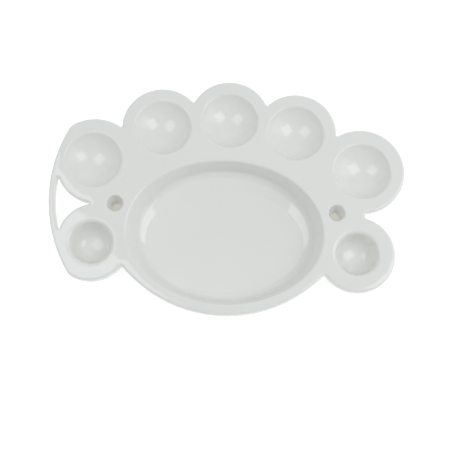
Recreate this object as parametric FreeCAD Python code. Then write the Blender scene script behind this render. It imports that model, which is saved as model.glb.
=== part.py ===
import FreeCAD, Part
import math
import os

# A moulded plastic mixing palette, in millimetres.
# X runs along the palette's length, Y away from the painter, +Z up.
# The origin is the centre of the flat underside of the mixing well, the face it rests on.

# Overall heights
WALL = 1.6
MIXING_DEPTH = 17.0
DECK_TOP = MIXING_DEPTH + WALL
SKIRT_HEIGHT = 6.0
SKIRT_BOTTOM = DECK_TOP - SKIRT_HEIGHT
EDGE_ROUND = 2.1
RIM_FLANGE = 0.5

# Round paint wells: where each one is, and the two shapes they come in
LARGE_MOUTH = 20.2
SMALL_MOUTH = 14.8
BACK_CENTRE = (0.0, 80.6)
BACK_SIDE = (47.2, 73.3)
UPPER_SIDE = (94.6, 47.2)
LOWER_SIDE = (91.6, -11.9)
# mouth radius, bottom radius, slope where the bottom ends, heel radius, wall slope, rim's round
LARGE_BOWL = (LARGE_MOUTH, 25.0, 40.0, 18.0, 56.0, 1.8)
SMALL_BOWL = (SMALL_MOUTH, 27.0, 14.0, 8.5, 78.0, 3.0)

# Mixing well: a steep wall, two shallower slopes inside it and a smaller flat floor set a
# little forward, between ellipses given as semi x, semi y, shift along y and depth
MIXING_MOUTH = (68.5, 50.7, 0.0, 0.0)
MIXING_HEEL = (62.4, 46.8, 0.3, 13.2)
MIXING_APRON = (60.4, 43.8, -0.6, 15.4)
MIXING_FOOT = (56.0, 37.6, -3.2, MIXING_DEPTH)
MIXING_RIM_ROUND = 1.2
MIXING_HEEL_ROUND = 4.0
MIXING_APRON_ROUND = 5.0
MIXING_FLANGE = 2.9

# Brush sockets: tapered holes right through, with a short straight land at the bottom
SOCKET_AT = (77.1, 16.4)
SOCKET_MOUTH = 5.8
SOCKET_BORE = 3.0
SOCKET_DEPTH = 14.0
SOCKET_LAND = 3.5
SOCKET_WALL = 1.4
SOCKET_RIM_ROUND = 0.9

# Outline: round lobes about the wells, one long front arc, and the finger bar's arc
BACK_CENTRE_LOBE = (0.0, 82.0, 28.4)
BACK_SIDE_LOBE = (47.6, 74.3, 28.6)
UPPER_SIDE_LOBE = (94.2, 47.6, 30.5)
LOWER_SIDE_LOBE = (91.4, -12.1, 26.6)
FRONT_ARC = (0.0, 34.9, 93.1)
NOTCH = 0.9
SIDE_NOTCH = 2.0
BAR_CENTRE = (-19.0, 25.0)
BAR_OUTER = 104.9
BAR_WIDTH = 4.8
BAR_INNER = BAR_OUTER - BAR_WIDTH
BAR_BLEND = 9.0
BAR_ANGLES = (176.5, 194.5)
BAR_ROOT_ANGLES = (170.0, 200.0)
LOOP_UPPER = (-91.9, 44.3, 28.2)
LOOP_LOWER = (-89.6, -9.6, 25.5)
LOOP_CORNER = 0.6


def vec(x, y, z=0.0):
    return FreeCAD.Vector(x, y, z)


def slope_point(centre, radius, degrees):
    """The point of a circle in the (r, z) plane whose tangent rises at this slope."""
    angle = math.radians(degrees)
    return (centre[0] + radius * math.sin(angle), centre[1] - radius * math.cos(angle))


# ---------------------------------------------------------------- outline of the deck

# An outline is a ring of arcs (x, y, radius, side, corner), taken counter-clockwise.
# side is +1 where the shape lies inside the arc's circle and -1 where it lies outside.
# corner rounds the meeting with the next arc: positive at an outer corner, negative at a notch.

def arc_between(centre, radius, start, end, sense):
    """An arc from angle start to angle end, counter-clockwise if sense is +1."""
    sweep = (sense * (end - start)) % (2 * math.pi)
    points = []
    for part in (0.0, 0.5, 1.0):
        angle = start + sense * sweep * part
        points.append(vec(centre[0] + radius * math.cos(angle),
                          centre[1] + radius * math.sin(angle)))
    return Part.Arc(*points).toShape()


def corner_centre(first, second):
    """Centre of the circle that rounds the corner between one arc and the next."""
    corner = first[4]
    turn = first[3] * second[3] * math.copysign(1.0, corner)
    reach_1 = first[2] - first[3] * corner
    reach_2 = second[2] - second[3] * corner
    dx = second[0] - first[0]
    dy = second[1] - first[1]
    gap = math.hypot(dx, dy)
    along = (gap ** 2 + reach_1 ** 2 - reach_2 ** 2) / (2 * gap)
    across = turn * math.sqrt(reach_1 ** 2 - along ** 2)
    return (first[0] + (along * dx - across * dy) / gap,
            first[1] + (along * dy + across * dx) / gap)


def direction(from_point, to_point):
    return math.atan2(to_point[1] - from_point[1], to_point[0] - from_point[0])


def touch_angle(corner_point, corner, arc):
    """The angle, about a corner's own centre, where the corner touches an arc."""
    if arc[3] * corner > 0:
        return direction(arc, corner_point)
    return direction(corner_point, arc)


def outline_face(arcs, inset):
    """The face that an outline bounds, with its edge moved in by inset."""
    ring = []
    for x, y, radius, side, corner in arcs:
        ring.append((x, y, radius - side * inset, side, corner - inset))
    following = ring[1:] + ring[:1]
    corners = [corner_centre(arc, after) for arc, after in zip(ring, following)]
    edges = []
    for index, arc in enumerate(ring):
        here = corners[index]
        corner = arc[4]
        edges.append(arc_between(arc, arc[2], direction(arc, corners[index - 1]),
                                 direction(arc, here), arc[3]))
        edges.append(arc_between(here, abs(corner), touch_angle(here, corner, arc),
                                 touch_angle(here, corner, following[index]), math.copysign(1.0, corner)))
    return Part.Face(Part.Wire(edges))


def outer_arcs():
    """The palette's outline, counter-clockwise from the middle of its front edge."""
    return [
        FRONT_ARC + (1, -NOTCH),
        LOWER_SIDE_LOBE + (1, -SIDE_NOTCH),
        UPPER_SIDE_LOBE + (1, -NOTCH),
        BACK_SIDE_LOBE + (1, -NOTCH),
        BACK_CENTRE_LOBE + (1, -NOTCH),
        mirrored(BACK_SIDE_LOBE) + (1, -NOTCH),
        mirrored(UPPER_SIDE_LOBE) + (1, BAR_BLEND),
        BAR_CENTRE + (BAR_OUTER, 1, BAR_BLEND),
        mirrored(LOWER_SIDE_LOBE) + (1, -NOTCH),
    ]


def loop_arcs():
    """The finger loop's opening, counter-clockwise from the bar."""
    return [
        BAR_CENTRE + (BAR_INNER, 1, LOOP_CORNER),
        LOOP_LOWER + (-1, LOOP_CORNER),
        LOOP_UPPER + (-1, LOOP_CORNER),
    ]


def mirrored(place):
    """A place or a circle, moved to the other side of the palette's middle."""
    return (-place[0],) + tuple(place[1:])


def edges_at(shape, height):
    """The edges of a shape that lie wholly at one height."""
    flat = []
    for edge in shape.Edges:
        box = edge.BoundBox
        if abs(box.ZMin - height) < 1e-4 and abs(box.ZMax - height) < 1e-4:
            flat.append(edge)
    return flat


def raised(face, bottom, top):
    face.translate(vec(0, 0, bottom))
    return face.extrude(vec(0, 0, top - bottom))


def moulding_block():
    """The whole outline, deck and bar together, as a block with its top edges rounded."""
    block = raised(outline_face(outer_arcs(), 0.0), SKIRT_BOTTOM, DECK_TOP)
    loop = raised(outline_face(loop_arcs(), 0.0), SKIRT_BOTTOM - 1, DECK_TOP + 1)
    block = block.cut(loop)
    return block.makeFillet(EDGE_ROUND, edges_at(block, DECK_TOP))


def underside_hollow():
    """The space under the deck, inside its skirt and clear of the bar."""
    bottom = SKIRT_BOTTOM - 1
    top = DECK_TOP - WALL
    hollow = raised(outline_face(outer_arcs(), WALL), bottom, top)
    loop_wall = raised(outline_face(loop_arcs(), -WALL), bottom - 1, top + 1)
    bar_root = raised(ring_sector(BAR_INNER - WALL, BAR_OUTER + 1, BAR_ROOT_ANGLES), bottom - 1, top + 1)
    return hollow.cut(loop_wall).cut(bar_root)


def ring_sector(inner, outer, angles):
    """A flat face between two arcs about the bar's centre and two angles in degrees."""
    def at(radius, degrees):
        angle = math.radians(degrees)
        return vec(BAR_CENTRE[0] + radius * math.cos(angle), BAR_CENTRE[1] + radius * math.sin(angle))

    first, last = angles
    middle = (first + last) / 2
    edges = [
        Part.Arc(at(outer, first), at(outer, middle), at(outer, last)).toShape(),
        Part.LineSegment(at(outer, last), at(inner, last)).toShape(),
        Part.Arc(at(inner, last), at(inner, middle), at(inner, first)).toShape(),
        Part.LineSegment(at(inner, first), at(outer, first)).toShape(),
    ]
    return Part.Face(Part.Wire(edges))


def bar_zone():
    """The block of space that holds the finger bar and nothing else."""
    return raised(ring_sector(BAR_INNER - 1, BAR_OUTER + 1, BAR_ANGLES), SKIRT_BOTTOM - 1, DECK_TOP + 1)


# ---------------------------------------------------------------- paint wells

def rim_reach(bowl):
    """How far a bowl's rounded rim reaches past its mouth along the deck."""
    return bowl[5] * math.tan(math.radians(bowl[4]) / 2)


def well_flange_radius(bowl):
    return bowl[0] + rim_reach(bowl) + RIM_FLANGE


def bowl_curve(bowl, offset):
    """Edges of a bowl's section in the XZ plane, from its middle out to its flange.

    offset 0 is the inside; offset WALL is the underside."""
    mouth, bottom_radius, bottom_slope, heel_radius, wall_slope, rim_radius = bowl
    wall = math.radians(wall_slope)
    heel = slope_point((0, 0), bottom_radius - heel_radius, bottom_slope)
    wall_foot = slope_point(heel, heel_radius, wall_slope)
    rise = (mouth - wall_foot[0]) * math.tan(wall)
    middle = DECK_TOP - (rise + wall_foot[1])
    rim = (mouth + rim_reach(bowl), DECK_TOP - rim_radius)
    rim_round = rim_radius - offset

    def lift(point):
        return vec(point[0], 0, point[1] + middle)

    def on_rim(degrees):
        angle = math.radians(degrees)
        return vec(rim[0] - rim_round * math.sin(angle), 0, rim[1] + rim_round * math.cos(angle))

    bottom = bottom_radius + offset
    side = heel_radius + offset
    bottom_arc = Part.Arc(lift((0, -bottom)),
                          lift(slope_point((0, 0), bottom, bottom_slope / 2)),
                          lift(slope_point((0, 0), bottom, bottom_slope)))
    heel_arc = Part.Arc(lift(slope_point(heel, side, bottom_slope)),
                        lift(slope_point(heel, side, (bottom_slope + wall_slope) / 2)),
                        lift(slope_point(heel, side, wall_slope)))
    wall_line = Part.LineSegment(lift(slope_point(heel, side, wall_slope)), on_rim(wall_slope))
    rim_arc = Part.Arc(on_rim(wall_slope), on_rim(wall_slope / 2), on_rim(0))
    flange = Part.LineSegment(on_rim(0), vec(well_flange_radius(bowl), 0, DECK_TOP - offset))
    return [piece.toShape() for piece in (bottom_arc, heel_arc, wall_line, rim_arc, flange)]


def revolved(edges):
    """A solid of revolution about Z from a closed section, given as edges in any order."""
    section = Part.Face(Part.Wire(Part.__sortEdges__(edges)))
    return section.revolve(vec(0, 0, 0), vec(0, 0, 1), 360)


def paint_well(bowl):
    inside = bowl_curve(bowl, 0.0)
    outside = bowl_curve(bowl, WALL)
    middle = Part.LineSegment(inside[0].firstVertex().Point, outside[0].firstVertex().Point).toShape()
    lip = Part.LineSegment(inside[-1].lastVertex().Point, outside[-1].lastVertex().Point).toShape()
    return revolved(inside + outside + [middle, lip])


# ---------------------------------------------------------------- mixing well

def ellipse_wire(semi_x, semi_y, y, z):
    ellipse = Part.Ellipse(vec(0, y, z), semi_x, semi_y)
    return Part.Wire(ellipse.toShape())


def mixing_loft(offset):
    """The mixing well's bowl as a block; offset 0 is its inside, WALL its outside."""
    semi_x, semi_y, shift, _ = MIXING_MOUTH
    wires = [ellipse_wire(semi_x + offset, semi_y + offset, shift, DECK_TOP + 1.0),
             ellipse_wire(semi_x + offset, semi_y + offset, shift, DECK_TOP)]
    for semi_x, semi_y, shift, depth in (MIXING_HEEL, MIXING_APRON, MIXING_FOOT):
        wires.append(ellipse_wire(semi_x + offset, semi_y + offset, shift, DECK_TOP - depth - offset))
    return Part.makeLoft(wires, True, True)


def mixing_opening():
    """The face of the deck's oval opening, which the mixing well's flange fills."""
    return Part.Face(ellipse_wire(MIXING_MOUTH[0] + MIXING_FLANGE, MIXING_MOUTH[1] + MIXING_FLANGE, 0, 0))


def mixing_well():
    outside = mixing_loft(WALL)
    above = Part.makeBox(200, 200, 10, vec(-100, -100, DECK_TOP))
    flange = raised(mixing_opening(), DECK_TOP - WALL, DECK_TOP)
    body = outside.cut(above).fuse(flange).cut(mixing_loft(0.0))
    rim = []
    for edge in edges_at(body, DECK_TOP):
        if edge.BoundBox.XLength < 2 * MIXING_MOUTH[0] + 1:
            rim.append(edge)
    body = body.makeFillet(MIXING_RIM_ROUND, rim)
    body = body.makeFillet(MIXING_HEEL_ROUND, edges_at(body, DECK_TOP - MIXING_HEEL[3]))
    return body.makeFillet(MIXING_APRON_ROUND, edges_at(body, DECK_TOP - MIXING_APRON[3]))


# ---------------------------------------------------------------- brush sockets

def brush_socket():
    """A tapered tube from the deck down to a short straight bore, open at both ends."""
    flange = socket_flange_radius()
    bottom = DECK_TOP - SOCKET_DEPTH
    land_top = bottom + SOCKET_LAND
    corners = [
        (SOCKET_BORE, bottom),
        (SOCKET_BORE, land_top),
        (SOCKET_MOUTH, DECK_TOP),
        (flange, DECK_TOP),
        (flange, DECK_TOP - WALL),
        (SOCKET_MOUTH + SOCKET_WALL, DECK_TOP - WALL),
        (SOCKET_BORE + SOCKET_WALL, land_top),
        (SOCKET_BORE + SOCKET_WALL, bottom),
    ]
    points = [vec(x, 0, z) for x, z in corners]
    edges = Part.makePolygon(points + points[:1]).Edges
    tube = revolved(edges)
    mouth = []
    for edge in edges_at(tube, DECK_TOP):
        if edge.BoundBox.XLength < 2 * SOCKET_MOUTH + 0.1:
            mouth.append(edge)
    return tube.makeFillet(SOCKET_RIM_ROUND, mouth)


def socket_flange_radius():
    return SOCKET_MOUTH + SOCKET_WALL + RIM_FLANGE


# ---------------------------------------------------------------- the deck and its parts

def cylinder(place, radius):
    return Part.makeCylinder(radius, SKIRT_HEIGHT + 2, vec(place[0], place[1], SKIRT_BOTTOM - 1))


WELLS = {
    "paint_well_back_centre": (BACK_CENTRE, LARGE_BOWL),
    "paint_well_back_left": (mirrored(BACK_SIDE), LARGE_BOWL),
    "paint_well_back_right": (BACK_SIDE, LARGE_BOWL),
    "paint_well_upper_left": (mirrored(UPPER_SIDE), LARGE_BOWL),
    "paint_well_upper_right": (UPPER_SIDE, LARGE_BOWL),
    "paint_well_lower_left": (mirrored(LOWER_SIDE), SMALL_BOWL),
    "paint_well_lower_right": (LOWER_SIDE, SMALL_BOWL),
}
SOCKETS = {
    "brush_socket_left": mirrored(SOCKET_AT),
    "brush_socket_right": SOCKET_AT,
}


def deck(moulding):
    """The top plate with its rounded edge and skirt, hollow below, open for every well."""
    plate = moulding.cut(bar_zone()).cut(underside_hollow())
    for place, bowl in WELLS.values():
        plate = plate.cut(cylinder(place, well_flange_radius(bowl)))
    for place in SOCKETS.values():
        plate = plate.cut(cylinder(place, socket_flange_radius()))
    return plate.cut(raised(mixing_opening(), 0, DECK_TOP + 1))


def save(name, shape):
    solid = shape.removeSplitter()
    if len(solid.Solids) == 1:
        solid = solid.Solids[0]
    if not solid.isValid():
        raise ValueError(name + " is not a valid shape")
    solid.exportStep("parts/" + name + ".step")
    box = solid.BoundBox
    print("%-24s solids %d  volume %8.1f  x %.1f..%.1f  y %.1f..%.1f  z %.1f..%.1f" % (
        name, len(shape.Solids), solid.Volume,
        box.XMin, box.XMax, box.YMin, box.YMax, box.ZMin, box.ZMax))


def main():
    os.makedirs("parts", exist_ok=True)
    moulding = moulding_block()
    save("deck", deck(moulding))
    save("finger_bar", moulding.common(bar_zone()))
    save("mixing_well", mixing_well())
    for name, (place, bowl) in WELLS.items():
        well = paint_well(bowl)
        well.translate(vec(place[0], place[1]))
        save(name, well)
    for name, place in SOCKETS.items():
        socket = brush_socket()
        socket.translate(vec(place[0], place[1]))
        save(name, socket)


main()
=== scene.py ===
import math

import bmesh
import bpy
import numpy as np
from mathutils import Matrix, Vector
from mathutils.geometry import delaunay_2d_cdt


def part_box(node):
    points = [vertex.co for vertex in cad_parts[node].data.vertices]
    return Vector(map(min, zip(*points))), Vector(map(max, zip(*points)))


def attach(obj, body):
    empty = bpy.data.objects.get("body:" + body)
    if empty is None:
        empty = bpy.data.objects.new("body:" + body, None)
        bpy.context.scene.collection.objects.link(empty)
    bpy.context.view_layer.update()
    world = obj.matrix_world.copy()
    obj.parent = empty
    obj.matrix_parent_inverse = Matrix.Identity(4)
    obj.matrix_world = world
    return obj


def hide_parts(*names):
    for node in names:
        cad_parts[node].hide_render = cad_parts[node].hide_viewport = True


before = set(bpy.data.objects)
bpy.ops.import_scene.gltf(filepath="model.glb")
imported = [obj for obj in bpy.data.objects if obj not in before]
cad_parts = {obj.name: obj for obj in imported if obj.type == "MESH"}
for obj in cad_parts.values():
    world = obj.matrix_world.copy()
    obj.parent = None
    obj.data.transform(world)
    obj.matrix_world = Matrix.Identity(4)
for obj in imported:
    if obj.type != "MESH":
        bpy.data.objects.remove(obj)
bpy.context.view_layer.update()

# Lengths are in millimetres, in the CAD frame, and become metres when a mesh is made.
MM = 0.001
SLOT = "white_plastic"
SHARP_ANGLE = 35.0
WELD_DISTANCE = 1e-7

# Heights and thicknesses
DECK_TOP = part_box("deck")[1].z / MM
SKIRT_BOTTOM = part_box("deck")[0].z / MM
WALL = 1.6
UNDERSIDE = DECK_TOP - WALL
EDGE_ROUND = 2.1
SKIRT_FOOT_ROUND = 0.5
HOLLOW_FILLET = 0.4
SUPPORT = 0.25

# Round paint wells: mouth radius, bottom radius, slope where the bottom ends, heel radius,
# wall slope and the rounding of the rim
LARGE_BOWL = (20.2, 25.0, 40.0, 18.0, 56.0, 1.8)
SMALL_BOWL = (14.8, 27.0, 14.0, 8.5, 78.0, 3.0)
WELL_STEPS = 192
CORE_CELLS = WELL_STEPS // 4
CORE_SHARE = 0.6

# Mixing well: ellipses as (semi x, semi y, shift along y, depth)
MIXING_MOUTH = (68.5, 50.7, 0.0, 0.0)
MIXING_HEEL = (62.4, 46.8, 0.3, 13.2)
MIXING_APRON = (60.4, 43.8, -0.6, 15.4)
MIXING_FOOT = (56.0, 37.6, -3.2, 17.0)
MIXING_ROUNDS = (2.0, 4.0, 5.0, 0.9)
MIXING_STEPS = 320

# Brush sockets
SOCKET_MOUTH = 5.8
SOCKET_BORE = 3.0
SOCKET_DEPTH = 14.0
SOCKET_LAND = 3.5
SOCKET_WALL = 1.4
SOCKET_RIM_ROUND = 1.2
SOCKET_STEPS = 96

# The palette's outline: arcs as (x, y, radius), and the rounding of the corners between them
BACK_CENTRE_LOBE = (0.0, 82.0, 28.4)
BACK_SIDE_LOBE = (47.6, 74.3, 28.6)
UPPER_SIDE_LOBE = (94.2, 47.6, 30.5)
LOWER_SIDE_LOBE = (91.4, -12.1, 26.6)
FRONT_ARC = (0.0, 34.9, 93.1)
NOTCH = 0.9
SIDE_NOTCH = 2.0
BAR_CENTRE = (-19.0, 25.0)
BAR_OUTER = 104.9
BAR_INNER = 100.1
BAR_BLEND = 9.0
BAR_ANGLES = (math.radians(176.5), math.radians(194.5))
LOOP_UPPER = (-91.9, 44.3, 28.2)
LOOP_LOWER = (-89.6, -9.6, 25.5)
LOOP_CORNER = 0.6
HOLLOW_END = 4.5
HOLLOW_BAR = 103.1
OUTLINE_SPACING = 1.3
CORNER_STEPS = 10

# The triangles of the deck's top: their size, the height of a row and the gap kept from any edge,
# both as shares of that size
DECK_SPACING = 3.5
ROW_SHARE = 0.87
CLEAR_SHARE = 0.6

# Steps along each rounding
EDGE_STEPS = 12
SKIRT_FOOT_STEPS = 4
FILLET_STEPS = 6
BOTTOM_STEPS = 10
HEEL_STEPS = 8
RIM_STEPS = 12
MIXING_ROUND_STEPS = 12
SOCKET_RIM_STEPS = 10
SMALLEST_ROUND = 0.1


def mirrored(circle):
    return (-circle[0],) + circle[1:]


# ---------------------------------------------------------------- outlines made of arcs

# An outline is a ring of arcs (x, y, radius, side, corner), taken counter-clockwise.
# side is +1 where the shape lies inside the arc's circle and -1 where it lies outside.
# corner rounds the meeting with the next arc: positive at an outer corner, negative at a notch.

OUTER_ARCS = [
    FRONT_ARC + (1, -NOTCH),
    LOWER_SIDE_LOBE + (1, -SIDE_NOTCH),
    UPPER_SIDE_LOBE + (1, -NOTCH),
    BACK_SIDE_LOBE + (1, -NOTCH),
    BACK_CENTRE_LOBE + (1, -NOTCH),
    mirrored(BACK_SIDE_LOBE) + (1, -NOTCH),
    mirrored(UPPER_SIDE_LOBE) + (1, BAR_BLEND),
    BAR_CENTRE + (BAR_OUTER, 1, BAR_BLEND),
    mirrored(LOWER_SIDE_LOBE) + (1, -NOTCH),
]
LOOP_ARCS = [
    BAR_CENTRE + (BAR_INNER, 1, LOOP_CORNER),
    LOOP_LOWER + (-1, LOOP_CORNER),
    LOOP_UPPER + (-1, LOOP_CORNER),
]
# The hollow under the deck follows the outline and passes round the finger loop.
HOLLOW_ARCS = OUTER_ARCS[:6] + [
    mirrored(UPPER_SIDE_LOBE) + (1, HOLLOW_END),
    BAR_CENTRE + (HOLLOW_BAR, 1, HOLLOW_END),
    LOOP_UPPER + (1, -LOOP_CORNER),
    LOOP_LOWER + (1, HOLLOW_END),
    BAR_CENTRE + (HOLLOW_BAR, 1, HOLLOW_END),
    mirrored(LOWER_SIDE_LOBE) + (1, -NOTCH),
]


def direction(from_point, to_point):
    return math.atan2(to_point[1] - from_point[1], to_point[0] - from_point[0])


def corner_centre(first, second):
    """Centre of the circle that rounds the corner between one arc and the next."""
    corner = first[4]
    turn = first[3] * second[3] * math.copysign(1.0, corner)
    reach_1 = first[2] - first[3] * corner
    reach_2 = second[2] - second[3] * corner
    dx = second[0] - first[0]
    dy = second[1] - first[1]
    gap = math.hypot(dx, dy)
    along = (gap ** 2 + reach_1 ** 2 - reach_2 ** 2) / (2 * gap)
    across = turn * math.sqrt(reach_1 ** 2 - along ** 2)
    return (first[0] + (along * dx - across * dy) / gap,
            first[1] + (along * dy + across * dx) / gap)


def touch_angle(corner_point, corner, arc):
    """The angle, about a corner's own centre, where the corner touches an arc."""
    if arc[3] * corner > 0:
        return direction(arc, corner_point)
    return direction(corner_point, arc)


def stretches(arcs, inset=0.0):
    """Every arc and corner of an outline in turn, as (centre, radius, start, sweep)."""
    ring = [(x, y, radius - side * inset, side, corner - inset) for x, y, radius, side, corner in arcs]
    corners = [corner_centre(arc, ring[(k + 1) % len(ring)]) for k, arc in enumerate(ring)]
    found = []
    for index, arc in enumerate(ring):
        here = corners[index]
        following = ring[(index + 1) % len(ring)]
        for centre, radius, start, end, sense in (
            (arc[:2], arc[2], direction(arc, corners[index - 1]), direction(arc, here), arc[3]),
            (here, abs(arc[4]), touch_angle(here, arc[4], arc), touch_angle(here, arc[4], following),
             int(math.copysign(1, arc[4]))),
        ):
            found.append((centre, radius, start, sense * ((sense * (end - start)) % (2 * math.pi))))
    return found


def sampled(stretch):
    """Points of one stretch with their outward normals, without its last point."""
    centre, radius, start, sweep = stretch
    steps = max(CORNER_STEPS, math.ceil(radius * abs(sweep) / OUTLINE_SPACING))
    facing = math.copysign(1.0, sweep)
    found = []
    for step in range(steps):
        angle = start + sweep * step / steps
        ray = Vector((math.cos(angle), math.sin(angle)))
        found.append((Vector(centre) + radius * ray, facing * ray))
    return found


def without_bar(ring):
    """A ring of stretches cut open at the finger bar, from its lower cut to its upper cut."""
    index = [stretch[0] for stretch in ring].index(BAR_CENTRE)
    centre, radius, start, sweep = ring[index]
    upper = (BAR_ANGLES[0] - start) % (2 * math.pi)
    lower = (BAR_ANGLES[1] - start) % (2 * math.pi)
    after = (centre, radius, BAR_ANGLES[1], sweep - lower)
    before = (centre, radius, start, upper)
    return [after] + ring[index + 1:] + ring[:index] + [before]


def open_path(ring):
    """Samples along an opened ring, its last point included."""
    path = [sample for stretch in ring for sample in sampled(stretch)]
    centre, radius, start, sweep = ring[-1]
    ray = Vector((math.cos(start + sweep), math.sin(start + sweep)))
    return path + [(Vector(centre) + radius * ray, ray)]


# ---------------------------------------------------------------- mesh helpers

class Shell:
    """Points and faces of one piece, gathered before they become a mesh."""

    def __init__(self):
        self.points = []
        self.faces = []

    def ring(self, points):
        first = len(self.points)
        self.points.extend(tuple(point) for point in points)
        return list(range(first, len(self.points)))

    def band(self, one, other, closed=True):
        """Quads between two rings of the same length."""
        count = len(one)
        for k in range(count if closed else count - 1):
            after = (k + 1) % count
            self.faces.append((one[k], one[after], other[after], other[k]))

    def bands(self, rings, closed=True):
        for one, other in zip(rings, rings[1:]):
            self.band(one, other, closed)

    def disc(self, cells, spot):
        """A grid of quads over a disc; spot places each unit-disc point. Returns its edge ring."""
        placed = {}
        edge = {}
        for i in range(cells + 1):
            for j in range(cells + 1):
                u = 2 * i / cells - 1
                v = 2 * j / cells - 1
                reach, angle = disc_place(u, v)
                placed[i, j] = self.ring([spot(reach, angle)])[0]
                if max(abs(u), abs(v)) > 1 - 0.5 / cells:
                    edge[round(angle / (2 * math.pi) * 4 * cells) % (4 * cells)] = placed[i, j]
        for i in range(cells):
            for j in range(cells):
                self.faces.append((placed[i, j], placed[i + 1, j], placed[i + 1, j + 1], placed[i, j + 1]))
        return [edge[k] for k in range(4 * cells)]

    def fill(self, outer, holes, spacing):
        """Triangles between an outer ring of points and the rings of holes in it."""
        loops = [outer] + holes
        indices = [index for loop in loops for index in loop]
        flat = np.array([self.points[index][:2] for index in indices])
        height = self.points[outer[0]][2]
        edges = loop_edges([len(loop) for loop in loops])
        ends = np.array([(*flat[a], *flat[b]) for a, b in edges])
        extra = grid_inside(flat, ends, spacing) if spacing else []
        coords = [Vector(point) for point in [*flat.tolist(), *extra]]
        points, _, triangles, origins, _, _ = delaunay_2d_cdt(coords, edges, [], 1, 1e-7, True)
        fresh = {}
        for k, point in enumerate(points):
            known = [origin for origin in origins[k] if origin < len(indices)]
            fresh[k] = indices[known[0]] if known else None
        middles = np.array([sum((points[k] for k in t), Vector((0, 0))) / 3 for t in triangles])
        for triangle, kept in zip(triangles, even_odd(middles, ends)):
            if kept:
                for k in triangle:
                    if fresh[k] is None:
                        fresh[k] = self.ring([(*points[k], height)])[0]
                self.faces.append(tuple(fresh[k] for k in triangle))


def loop_edges(lengths):
    """The edges, as pairs of indices, of closed loops numbered one after another."""
    edges = []
    start = 0
    for length in lengths:
        edges += [(start + k, start + (k + 1) % length) for k in range(length)]
        start += length
    return edges


def grid_inside(flat, ends, spacing):
    """Points of a triangular grid inside the rings and clear of their points."""
    low, high = flat.min(0), flat.max(0)
    grid = [(x + (row % 2) * spacing / 2, y)
            for row, y in enumerate(np.arange(low[1], high[1], spacing * ROW_SHARE))
            for x in np.arange(low[0], high[0], spacing)]
    inside = even_odd(np.array(grid), ends)
    return [point for point, kept in zip(grid, inside)
            if kept and np.hypot(*(flat - point).T).min() > spacing * CLEAR_SHARE]


def disc_place(u, v):
    """Distance and angle on the unit disc for a point of the square from -1 to 1."""
    if abs(u) < 1e-9 and abs(v) < 1e-9:
        return 0.0, 0.0
    if abs(u) >= abs(v):
        reach, angle = u, math.pi / 4 * v / u
    else:
        reach, angle = v, math.pi / 2 - math.pi / 4 * u / v
    if reach < 0:
        return -reach, (angle + math.pi) % (2 * math.pi)
    return reach, angle % (2 * math.pi)


def even_odd(points, ends):
    """For each point, whether it lies inside the rings whose edges are given."""
    x, y = points[:, :1], points[:, 1:]
    x1, y1, x2, y2 = ends.T
    spans = (y1 > y) != (y2 > y)
    slope = (x2 - x1) / np.where(y2 == y1, 1.0, y2 - y1)
    crossings = spans & (x < x1 + (y - y1) * slope)
    return crossings.sum(1) % 2 == 1


def circle_points(centre, radius, height, steps):
    return [(centre[0] + radius * math.cos(2 * math.pi * k / steps),
             centre[1] + radius * math.sin(2 * math.pi * k / steps), height) for k in range(steps)]


def arc(centre, radius, start, end, steps):
    """Points (across, up) on a circle from one angle to another in degrees, both included."""
    found = []
    for step in range(steps + 1):
        angle = math.radians(start + (end - start) * step / steps)
        found.append((centre[0] + radius * math.cos(angle), centre[1] + radius * math.sin(angle)))
    return found


def make_piece(name, shell, material):
    """Turns a shell into a closed, smooth-shaded mesh object that replaces its CAD node."""
    mesh = bpy.data.meshes.new(name + "_moulding")
    mesh.from_pydata([[c * MM for c in point] for point in shell.points], [], shell.faces)
    work = bmesh.new()
    work.from_mesh(mesh)
    bmesh.ops.remove_doubles(work, verts=work.verts, dist=WELD_DISTANCE)
    bmesh.ops.recalc_face_normals(work, faces=work.faces)
    if work.calc_volume(signed=True) < 0:
        bmesh.ops.reverse_faces(work, faces=work.faces)
    work.to_mesh(mesh)
    work.free()
    mesh.shade_smooth()
    mesh.set_sharp_from_angle(angle=math.radians(SHARP_ANGLE))
    mesh.materials.append(material)
    piece = bpy.data.objects.new(name + "_moulding", mesh)
    bpy.context.scene.collection.objects.link(piece)
    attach(piece, "root")
    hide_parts(name)


def node_circle(node):
    """Centre and radius of a round CAD node seen from above."""
    low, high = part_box(node)
    return ((low.x + high.x) / 2 / MM, (low.y + high.y) / 2 / MM), (high.x - low.x) / 2 / MM


# ---------------------------------------------------------------- deck and finger bar

def edge_levels():
    """The rolled edge and skirt from the flat top down to the foot, as (inset, height)."""
    roll = arc((EDGE_ROUND, DECK_TOP - EDGE_ROUND), EDGE_ROUND, 90, 180, EDGE_STEPS)
    foot = arc((SKIRT_FOOT_ROUND, SKIRT_BOTTOM + SKIRT_FOOT_ROUND), SKIRT_FOOT_ROUND, 180, 270,
               SKIRT_FOOT_STEPS)
    middle = (0.0, (roll[-1][1] + foot[0][1]) / 2)
    return roll + [middle] + foot


def level_points(path, inset, height):
    return [(*(point - inset * normal), height) for point, normal in path]


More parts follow.
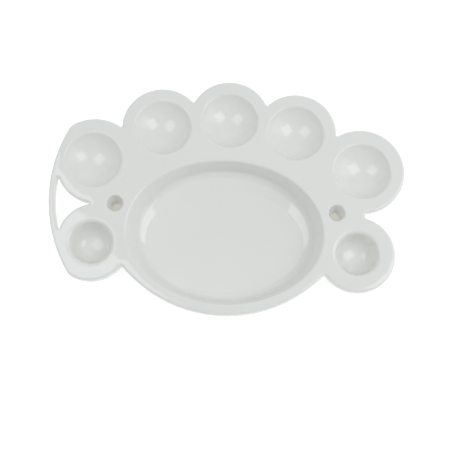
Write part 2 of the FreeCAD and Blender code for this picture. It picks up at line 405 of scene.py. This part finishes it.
def make_deck(material, holes):
    """The deck with its round holes, given as (centre, radius, steps), and the mixing well's hole."""
    shell = Shell()
    outer = open_path(without_bar(stretches(OUTER_ARCS)))
    loop = [(point, -normal) for point, normal in reversed(open_path(without_bar(stretches(LOOP_ARCS))))]
    levels = edge_levels()
    outer_rings = [shell.ring(level_points(outer, *level)) for level in levels]
    loop_rings = [shell.ring(level_points(loop, *level)) for level in levels]
    shell.bands(outer_rings, closed=False)
    shell.bands(loop_rings, closed=False)
    shell.faces.append([ring[-1] for ring in outer_rings] + [ring[0] for ring in reversed(loop_rings)])
    shell.faces.append([ring[-1] for ring in loop_rings] + [ring[0] for ring in reversed(outer_rings)])

    hollow = [sample for stretch in stretches(HOLLOW_ARCS, WALL) for sample in sampled(stretch)]
    fillet = arc((HOLLOW_FILLET, UNDERSIDE - HOLLOW_FILLET), HOLLOW_FILLET, 180, 90, FILLET_STEPS)
    hollow_levels = [(0.0, SKIRT_BOTTOM)] + fillet
    hollow_rings = [shell.ring(level_points(hollow, *level)) for level in hollow_levels]
    shell.bands(hollow_rings)

    tops = []
    undersides = []
    for centre, radius, steps in holes:
        tops.append(shell.ring(circle_points(centre, radius, DECK_TOP, steps)))
        undersides.append(shell.ring(circle_points(centre, radius, UNDERSIDE, steps)))
    tops.append(shell.ring(mixing_flange(DECK_TOP)))
    undersides.append(shell.ring(mixing_flange(UNDERSIDE)))
    for top, under in zip(tops, undersides):
        shell.band(top, under)
    shell.fill(outer_rings[0] + loop_rings[0], tops, DECK_SPACING)
    shell.fill(outer_rings[-1] + loop_rings[-1], [hollow_rings[0]], None)
    shell.fill(hollow_rings[-1], undersides, None)
    make_piece("deck", shell, material)


def make_finger_bar(material):
    """The narrow curved bar that closes the loop, one section after another along its arc."""
    shell = Shell()
    levels = edge_levels()
    section = [(BAR_OUTER - inset, height) for inset, height in levels]
    section += [(BAR_INNER + inset, height) for inset, height in reversed(levels)]
    upper, lower = BAR_ANGLES
    steps = math.ceil(BAR_OUTER * (lower - upper) / OUTLINE_SPACING)
    rings = []
    for step in range(steps + 1):
        angle = upper + (lower - upper) * step / steps
        rings.append(shell.ring(
            [(BAR_CENTRE[0] + reach * math.cos(angle), BAR_CENTRE[1] + reach * math.sin(angle), height)
             for reach, height in section]))
    shell.bands(rings)
    shell.faces.append(rings[0])
    shell.faces.append(rings[-1])
    make_piece("finger_bar", shell, material)


# ---------------------------------------------------------------- paint wells

def slope_point(centre, radius, degrees):
    """The point of a circle whose tangent rises at this slope."""
    angle = math.radians(degrees)
    return (centre[0] + radius * math.sin(angle), centre[1] - radius * math.cos(angle))


def bowl_section(bowl, offset, flange):
    """A bowl's section from its bottom's edge out to its flange, and its bottom arc's centre height."""
    mouth, bottom_radius, bottom_slope, heel_radius, wall_slope, rim_round = bowl
    heel = slope_point((0, 0), bottom_radius - heel_radius, bottom_slope)
    foot = slope_point(heel, heel_radius, wall_slope)
    rise = (mouth - foot[0]) * math.tan(math.radians(wall_slope))
    middle = DECK_TOP - rise - foot[1]
    reach = rim_round * math.tan(math.radians(wall_slope) / 2)
    rim = (mouth + reach, DECK_TOP - rim_round)
    bottom = arc((0, middle), bottom_radius + offset,
                 bottom_slope * CORE_SHARE - 90, bottom_slope - 90, BOTTOM_STEPS)
    side = arc((heel[0], middle + heel[1]), heel_radius + offset, bottom_slope - 90, wall_slope - 90,
               HEEL_STEPS)
    turn = arc(rim, max(rim_round - offset, SMALLEST_ROUND), 90 + wall_slope, 90, RIM_STEPS)
    end = [(turn[-1][0] + SUPPORT, turn[-1][1]), (flange, turn[-1][1])]
    return bottom + side[1:] + turn + end, middle


def make_paint_well(node, bowl, material):
    centre, flange = node_circle(node)
    shell = Shell()
    sides = []
    for offset in (0.0, WALL):
        section, middle = bowl_section(bowl, offset, flange)
        core, sphere = section[0][0], bowl[1] + offset

        def spot(reach, angle):
            across = core * reach
            return (centre[0] + across * math.cos(angle), centre[1] + across * math.sin(angle),
                    middle - math.sqrt(sphere ** 2 - across ** 2))

        rings = [shell.disc(CORE_CELLS, spot)]
        for across, height in section[1:]:
            rings.append(shell.ring(circle_points(centre, across, height, WELL_STEPS)))
        shell.bands(rings)
        sides.append(rings[-1])
    shell.band(*sides)
    make_piece(node, shell, material)


# ---------------------------------------------------------------- mixing well

def mixing_flange(height):
    """The edge between the deck and the mixing well's own rim."""
    low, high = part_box("mixing_well")
    semi_x, semi_y = (high.x - low.x) / 2 / MM, (high.y - low.y) / 2 / MM
    return ellipse_points(semi_x, semi_y, 0.0, height)


def ellipse_points(semi_x, semi_y, shift, height):
    turn = 2 * math.pi / MIXING_STEPS
    return [(semi_x * math.cos(k * turn), shift + semi_y * math.sin(k * turn), height)
            for k in range(MIXING_STEPS)]


def rounded(corners, radii, steps):
    """A bent line with each inner corner rounded to its radius."""
    found = [corners[0]]
    for before, corner, after, radius in zip(corners, corners[1:], corners[2:], radii):
        into = (corner - before).normalized()
        out = (after - corner).normalized()
        turn = into.angle(out)
        reach = radius * math.tan(turn / 2)
        centre = corner + (out - into).normalized() * radius / math.cos(turn / 2)
        first = (corner - reach * into - centre).normalized()
        last = (corner + reach * out - centre).normalized()
        found += [centre + radius * first.slerp(last, step / steps) for step in range(steps + 1)]
    return found + [corners[-1]]


def mixing_spot(ellipse, angle, grow, drop=0.0):
    """The point at this angle of one of the mixing well's ellipses, made larger and lower."""
    semi_x, semi_y, shift, depth = ellipse
    return Vector(((semi_x + grow) * math.cos(angle), shift + (semi_y + grow) * math.sin(angle),
                   DECK_TOP - depth - drop))


def mixing_column(angle, offset):
    """The mixing well's surface from the deck to its floor; offset 0 is its inside, WALL its outside."""
    rim, heel, apron, foot = MIXING_ROUNDS
    corners = [
        mixing_spot(MIXING_MOUTH, angle, rim + SUPPORT, offset),
        mixing_spot(MIXING_MOUTH, angle, offset, offset),
        mixing_spot(MIXING_HEEL, angle, offset, offset),
        mixing_spot(MIXING_APRON, angle, offset, offset),
        mixing_spot(MIXING_FOOT, angle, 0.0, offset),
        mixing_spot(MIXING_FOOT, angle, -foot, offset),
    ]
    radii = (rim - offset, heel + offset, apron + offset, foot)
    return rounded(corners, radii, MIXING_ROUND_STEPS)


def make_mixing_well(material):
    shell = Shell()
    foot = MIXING_ROUNDS[3]
    edges = []
    for offset in (0.0, WALL):
        columns = [mixing_column(2 * math.pi * k / MIXING_STEPS, offset) for k in range(MIXING_STEPS)]
        rings = [shell.ring(mixing_flange(DECK_TOP - offset))]
        for level in zip(*columns):
            rings.append(shell.ring(level))
        centre = Vector((0.0, MIXING_FOOT[2], DECK_TOP - MIXING_FOOT[3] - offset))

        def spot(reach, angle):
            return centre.lerp(mixing_spot(MIXING_FOOT, angle, -foot, offset), reach)

        rings.append(shell.disc(MIXING_STEPS // 4, spot))
        shell.bands(rings)
        edges.append(rings[0])
    shell.band(*edges)
    make_piece("mixing_well", shell, material)


# ---------------------------------------------------------------- brush sockets

def make_socket(node, material):
    centre, flange = node_circle(node)
    bottom = DECK_TOP - SOCKET_DEPTH
    land = bottom + SOCKET_LAND
    taper = math.degrees(math.atan2(DECK_TOP - land, SOCKET_MOUTH - SOCKET_BORE))
    reach = SOCKET_RIM_ROUND * math.tan(math.radians(taper) / 2)
    rim = (SOCKET_MOUTH + reach, DECK_TOP - SOCKET_RIM_ROUND)
    turn = arc(rim, SOCKET_RIM_ROUND, 90, 90 + taper, SOCKET_RIM_STEPS)
    section = [(flange, DECK_TOP), (turn[0][0] + SUPPORT, DECK_TOP)] + turn + [
        (SOCKET_BORE, land),
        (SOCKET_BORE, bottom),
        (SOCKET_BORE + SOCKET_WALL, bottom),
        (SOCKET_BORE + SOCKET_WALL, land),
        (SOCKET_MOUTH + SOCKET_WALL, UNDERSIDE),
        (flange, UNDERSIDE),
    ]
    shell = Shell()
    rings = [shell.ring(circle_points(centre, across, height, SOCKET_STEPS)) for across, height in section]
    shell.bands(rings + rings[:1])
    make_piece(node, shell, material)


# ---------------------------------------------------------------- material

PLASTIC_IOR = 1.49
TINT_STOPS = [(0.3, (0.890, 0.888, 0.853)), (0.7, (0.906, 0.902, 0.869))]
DUST_STOPS = [(0.79, (1.0, 1.0, 1.0)), (0.82, (0.80, 0.79, 0.76))]
GLOSS_NOISE = (0.3, 0.7)
GLOSS_ROUGHNESS = (0.008, 0.03)

# Noises as (features per metre, detail, roughness)
CLOUD_NOISE = (22.0, 4.0, 0.5)
DUST_NOISE = (640.0, 1.0, 0.5)
POLISH_NOISE = (60.0, 3.0, 0.6)
PEEL_NOISE = (900.0, 2.0, 0.5)
RIPPLE_NOISE = (70.0, 1.0, 0.5)

# Bumps as (strength, height in metres)
PEEL_BUMP = (0.2, 0.000001)
RIPPLE_BUMP = (0.5, 0.00002)

def noise(nodes, links, place, kind):
    """A noise texture over the palette."""
    found = nodes.new("ShaderNodeTexNoise")
    for socket, value in zip(("Scale", "Detail", "Roughness"), kind):
        found.inputs[socket].default_value = value
    links.new(place.outputs["Object"], found.inputs["Vector"])
    return found


def ramp(nodes, links, source, stops):
    """A colour ramp on a noise's factor, with stops as (position, colour)."""
    found = nodes.new("ShaderNodeValToRGB")
    elements = found.color_ramp.elements
    while len(elements) < len(stops):
        elements.new(0.5)
    for element, (position, colour) in zip(elements, stops):
        element.position = position
        element.color = (*colour, 1)
    links.new(source.outputs["Fac"], found.inputs["Fac"])
    return found


def bump(nodes, links, source, size):
    """A bump made from a noise's factor."""
    found = nodes.new("ShaderNodeBump")
    for socket, value in zip(("Strength", "Distance"), size):
        found.inputs[socket].default_value = value
    links.new(source.outputs["Fac"], found.inputs["Height"])
    return found


def white_plastic():
    """Glossy moulded white plastic: faint clouding, fine orange peel, and a few dust specks."""
    material = bpy.data.materials.new(SLOT)
    material.use_nodes = True
    nodes, links = material.node_tree.nodes, material.node_tree.links
    shader = nodes["Principled BSDF"]
    shader.inputs["IOR"].default_value = PLASTIC_IOR
    place = nodes.new("ShaderNodeTexCoord")

    tint = ramp(nodes, links, noise(nodes, links, place, CLOUD_NOISE), TINT_STOPS)
    dust = ramp(nodes, links, noise(nodes, links, place, DUST_NOISE), DUST_STOPS)
    spotted = nodes.new("ShaderNodeMix")
    spotted.data_type = "RGBA"
    spotted.blend_type = "MULTIPLY"
    spotted.inputs["Factor"].default_value = 1.0
    links.new(tint.outputs["Color"], spotted.inputs["A"])
    links.new(dust.outputs["Color"], spotted.inputs["B"])
    links.new(spotted.outputs["Result"], shader.inputs["Base Color"])

    polish = noise(nodes, links, place, POLISH_NOISE)
    gloss = nodes.new("ShaderNodeMapRange")
    gloss.inputs["From Min"].default_value = GLOSS_NOISE[0]
    gloss.inputs["From Max"].default_value = GLOSS_NOISE[1]
    gloss.inputs["To Min"].default_value = GLOSS_ROUGHNESS[0]
    gloss.inputs["To Max"].default_value = GLOSS_ROUGHNESS[1]
    links.new(polish.outputs["Fac"], gloss.inputs["Value"])
    links.new(gloss.outputs["Result"], shader.inputs["Roughness"])

    fine = bump(nodes, links, noise(nodes, links, place, PEEL_NOISE), PEEL_BUMP)
    broad = bump(nodes, links, noise(nodes, links, place, RIPPLE_NOISE), RIPPLE_BUMP)
    links.new(fine.outputs["Normal"], broad.inputs["Normal"])
    links.new(broad.outputs["Normal"], shader.inputs["Normal"])
    return material


# ---------------------------------------------------------------- floor, light and camera

FLOOR_SIDE = 3.0
FLOOR_GAP = 0.0002
FLOOR_ROUGHNESS = 0.9
FLOOR_COLOUR = (0.9, 0.9, 0.9)
FLOOR_GLOW = ((1.0, 1.0, 1.0), 0.45)

# Painted shade under each brush socket: a grey disc on the floor, seen through the bore. Its faint glow is
# painted light on the socket's walls.
SHADE_REACH = 1.03
SHADE_SHIFT = 3.0
SHADE_RADIUS = 9.0
SHADE_HEIGHT = 0.3
SHADE_STEPS = 48
SHADE_COLOUR = (0.80, 0.79, 0.74)
SHADE_GLOW = ((1.0, 0.98, 0.90), 0.12)


def matte(name, colour, glow):
    """A plain dull material with a faint glow, given as (colour, strength)."""
    material = bpy.data.materials.new(name)
    material.use_nodes = True
    shader = material.node_tree.nodes["Principled BSDF"]
    shader.inputs["Base Color"].default_value = (*colour, 1)
    shader.inputs["Roughness"].default_value = FLOOR_ROUGHNESS
    shader.inputs["Emission Color"].default_value = (*glow[0], 1)
    shader.inputs["Emission Strength"].default_value = glow[1]
    return material


def make_sheet(name, points, material):
    """A flat sheet with these corners, in metres."""
    mesh = bpy.data.meshes.new(name)
    mesh.from_pydata(points, [], [list(range(len(points)))])
    mesh.materials.append(material)
    sheet = bpy.data.objects.new(name, mesh)
    bpy.context.scene.collection.objects.link(sheet)
    return sheet


def make_floor():
    corners = [(-1, -1), (1, -1), (1, 1), (-1, 1)]
    points = [(x * FLOOR_SIDE, y * FLOOR_SIDE, -FLOOR_GAP) for x, y in corners]
    floor = make_sheet("floor", points, matte("pale_floor", FLOOR_COLOUR, FLOOR_GLOW))


def make_painted_shade(node, material):
    """A disc of painted shade just above the floor under a socket. It stands for the floor in the palette's
    shadow, seen through the bore, and keeps the bright floor out of its bore.
    """
    low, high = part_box(node)
    centre = ((low.x + high.x) / 2 / MM * SHADE_REACH, (low.y + high.y) / 2 / MM + SHADE_SHIFT)
    rim = circle_points(centre, SHADE_RADIUS, SHADE_HEIGHT, SHADE_STEPS)
    shade = make_sheet(node + "_shade", [[c * MM for c in point] for point in rim], material)


COOL_WHITE = (0.975, 1.0, 1.02)
WORLD_STRENGTH = 0.385

SOFTBOX_SIDE = 0.54
SOFTBOX_DISTANCE = 1.0
SOFTBOX_AIM = Vector((0, 0.02, 0.0186))
SOFTBOX_TURN = math.radians(45)

FILL_SIDE = 0.9
FILL_DISTANCE = 1.2
FILL_ELEVATION = math.radians(22)


def facing(toward):
    """The turn of a lamp or camera that stands in this direction and looks back."""
    return (-toward).to_track_quat("-Z", "Y").to_matrix().to_4x4()


def make_light(name, side, power, placement):
    """A square area light."""
    light = bpy.data.lights.new(name, "AREA")
    light.shape = "SQUARE"
    light.size = side
    light.energy = power
    light.color = COOL_WHITE
    lamp = bpy.data.objects.new(name, light)
    lamp.matrix_world = placement
    bpy.context.scene.collection.objects.link(lamp)


def make_softbox(name, side_angle, forward_angle, power):
    """A softbox turned on its corner, nearly overhead and off to one side; angles in degrees."""
    side_angle, forward_angle = math.radians(side_angle), math.radians(forward_angle)
    toward = Vector((math.sin(side_angle), math.sin(forward_angle), math.cos(side_angle))).normalized()
    place = Matrix.Translation(SOFTBOX_AIM + toward * SOFTBOX_DISTANCE)
    make_light(name, SOFTBOX_SIDE, power, place @ facing(toward) @ Matrix.Rotation(SOFTBOX_TURN, 4, "Z"))


def make_fill(name, bearing, power):
    """A large low panel aimed at the palette's middle; bearing 0 is +X and 90 is +Y, in degrees."""
    around = math.radians(bearing)
    toward = Vector((math.cos(FILL_ELEVATION) * math.cos(around), math.cos(FILL_ELEVATION) * math.sin(around),
                     math.sin(FILL_ELEVATION)))
    make_light(name, FILL_SIDE, power, Matrix.Translation(toward * FILL_DISTANCE) @ facing(toward))


def make_world():
    world = bpy.data.worlds.new("studio")
    world.use_nodes = True
    background = world.node_tree.nodes["Background"]
    background.inputs["Color"].default_value = (*COOL_WHITE, 1)
    background.inputs["Strength"].default_value = WORLD_STRENGTH
    bpy.context.scene.world = world


CAMERA_ELEVATION = math.radians(77.0)
CAMERA_ROLL = math.radians(2.54)
CAMERA_TARGET = Vector((0.00066, 0.0036, DECK_TOP * MM))
CAMERA_DISTANCE = 0.552
SENSOR_WIDTH = 36.0
VIEW_WIDTH = 0.31188


def make_camera():
    camera = bpy.data.cameras.new("camera")
    camera.sensor_width = SENSOR_WIDTH
    camera.lens = SENSOR_WIDTH * CAMERA_DISTANCE / VIEW_WIDTH
    back = Vector((0, -math.cos(CAMERA_ELEVATION), math.sin(CAMERA_ELEVATION)))
    holder = bpy.data.objects.new("camera", camera)
    holder.matrix_world = (Matrix.Translation(CAMERA_TARGET + back * CAMERA_DISTANCE) @ facing(back)
                           @ Matrix.Rotation(CAMERA_ROLL, 4, "Z"))
    bpy.context.scene.collection.objects.link(holder)
    bpy.context.scene.camera = holder


# ---------------------------------------------------------------- assembly

BOWLS = {
    "paint_well_back_centre": LARGE_BOWL,
    "paint_well_back_left": LARGE_BOWL,
    "paint_well_back_right": LARGE_BOWL,
    "paint_well_upper_left": LARGE_BOWL,
    "paint_well_upper_right": LARGE_BOWL,
    "paint_well_lower_left": SMALL_BOWL,
    "paint_well_lower_right": SMALL_BOWL,
}
SOCKETS = ["brush_socket_left", "brush_socket_right"]

plastic = white_plastic()
make_deck(plastic, [(*node_circle(node), WELL_STEPS) for node in BOWLS]
          + [(*node_circle(node), SOCKET_STEPS) for node in SOCKETS])
make_finger_bar(plastic)
make_mixing_well(plastic)
for node, bowl in BOWLS.items():
    make_paint_well(node, bowl, plastic)
for node in SOCKETS:
    make_socket(node, plastic)

make_floor()
# Discs of painted shade under the sockets, with a faint glow that lights the socket walls.
in_shade = matte("floor_in_shade", SHADE_COLOUR, SHADE_GLOW)
for node in SOCKETS:
    make_painted_shade(node, in_shade)
make_softbox("left_softbox", -26.0, 1.0, 1.85)
make_softbox("right_softbox", 33.5, -1.5, 2.3)
make_fill("fill_right", 0, 2.1)
make_fill("fill_left", 180, 0.8)
make_fill("fill_near", -90, 0.3)
make_fill("fill_back", 90, 0.9)
make_world()
make_camera()
bpy.context.scene.view_settings.view_transform = "Standard"
